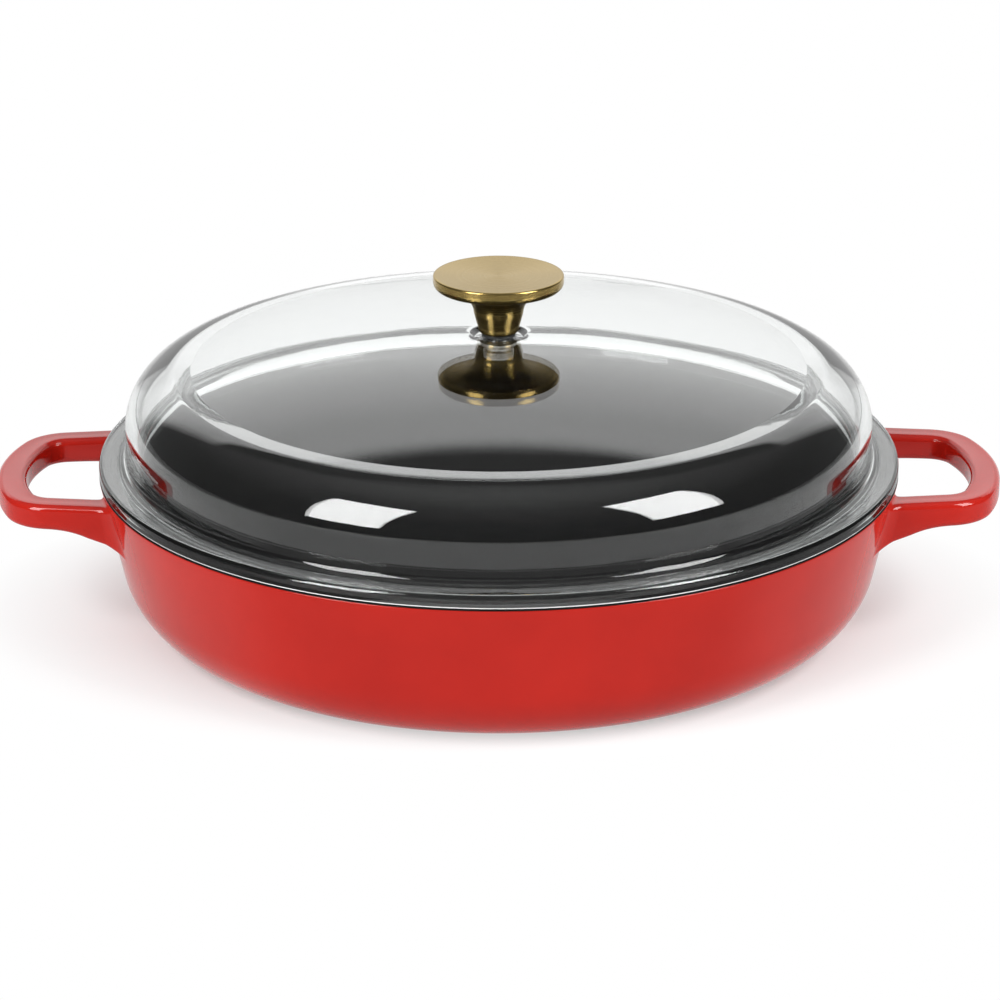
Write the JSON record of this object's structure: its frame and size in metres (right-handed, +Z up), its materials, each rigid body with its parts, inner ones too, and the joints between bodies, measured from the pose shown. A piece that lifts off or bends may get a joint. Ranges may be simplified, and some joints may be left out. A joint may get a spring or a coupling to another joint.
{
  "type": "lidded two-handled pan",
  "caption": "Wide, low enamelled cast iron pan with loop handles, a black lining, a domed glass lid that lifts off and a turned metal knob screwed through the glass.",
  "frame": {"origin": "middle of the base, on the plane of the ring that the pan stands on", "axes": "+X through the right handle, +Z up through the knob"},
  "size_m": [0.39, 0.31, 0.1375],
  "materials": {
    "red_enamel": "glossy red vitreous enamel on cast iron",
    "black_enamel": "satin black vitreous enamel",
    "clear_glass": "clear pressed glass, fire polished",
    "brushed_gold": "brushed gold, turned",
    "dark_silicone": "matt black silicone",
    "bright_steel": "bright stainless steel"
  },
  "bodies": {
    "pan": {"pan_casting": "red_enamel", "interior_enamel": "black_enamel"},
    "lid": {"lid_glass": "clear_glass", "lid_knob": "brushed_gold", "knob_gasket": "dark_silicone", "hole_grommet": "dark_silicone", "flat_washer": "bright_steel", "lock_washer": "bright_steel", "knob_screw": "bright_steel"}
  },
  "joints": [
    {"name": "lid_lift", "type": "slide", "parent": "pan", "child": "lid", "axis": [0, 0, 1], "range_m": [0, 0.2]}
  ]
}
